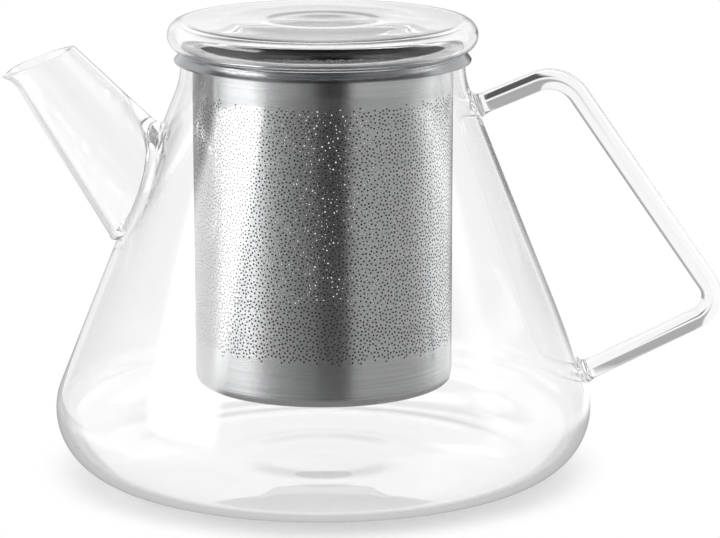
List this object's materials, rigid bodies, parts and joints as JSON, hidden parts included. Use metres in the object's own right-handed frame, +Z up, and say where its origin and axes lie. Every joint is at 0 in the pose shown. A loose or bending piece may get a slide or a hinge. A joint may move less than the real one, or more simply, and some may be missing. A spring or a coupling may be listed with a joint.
{
  "type": "glass teapot with strainer",
  "caption": "Clear glass teapot with a conical body, a welded spout and rod handle, a lift-out perforated steel strainer and a hollow glass lid.",
  "frame": {"origin": "centre of the flat base, on the surface the pot stands on", "axes": "+Z up along the pot's axis, +X towards the handle, -X towards the spout"},
  "size_m": [0.2215, 0.165, 0.1392],
  "materials": {
    "borosilicate_glass": "clear, fire-polished",
    "stainless_steel": "brushed sheet, etched holes"
  },
  "bodies": {
    "pot": {"pot_body": "borosilicate_glass", "spout": "borosilicate_glass", "handle": "borosilicate_glass"},
    "strainer": {"infuser_wall": "stainless_steel", "infuser_base": "stainless_steel", "infuser_rim": "stainless_steel"},
    "lid": {"lid": "borosilicate_glass"}
  },
  "joints": [
    {"name": "infuser_lift", "type": "slide", "parent": "pot", "child": "strainer", "axis": [0, 0, 1], "range_m": [0, 0.12]},
    {"name": "lid_lift", "type": "slide", "parent": "strainer", "child": "lid", "axis": [0, 0, 1], "range_m": [0, 0.06]}
  ]
}
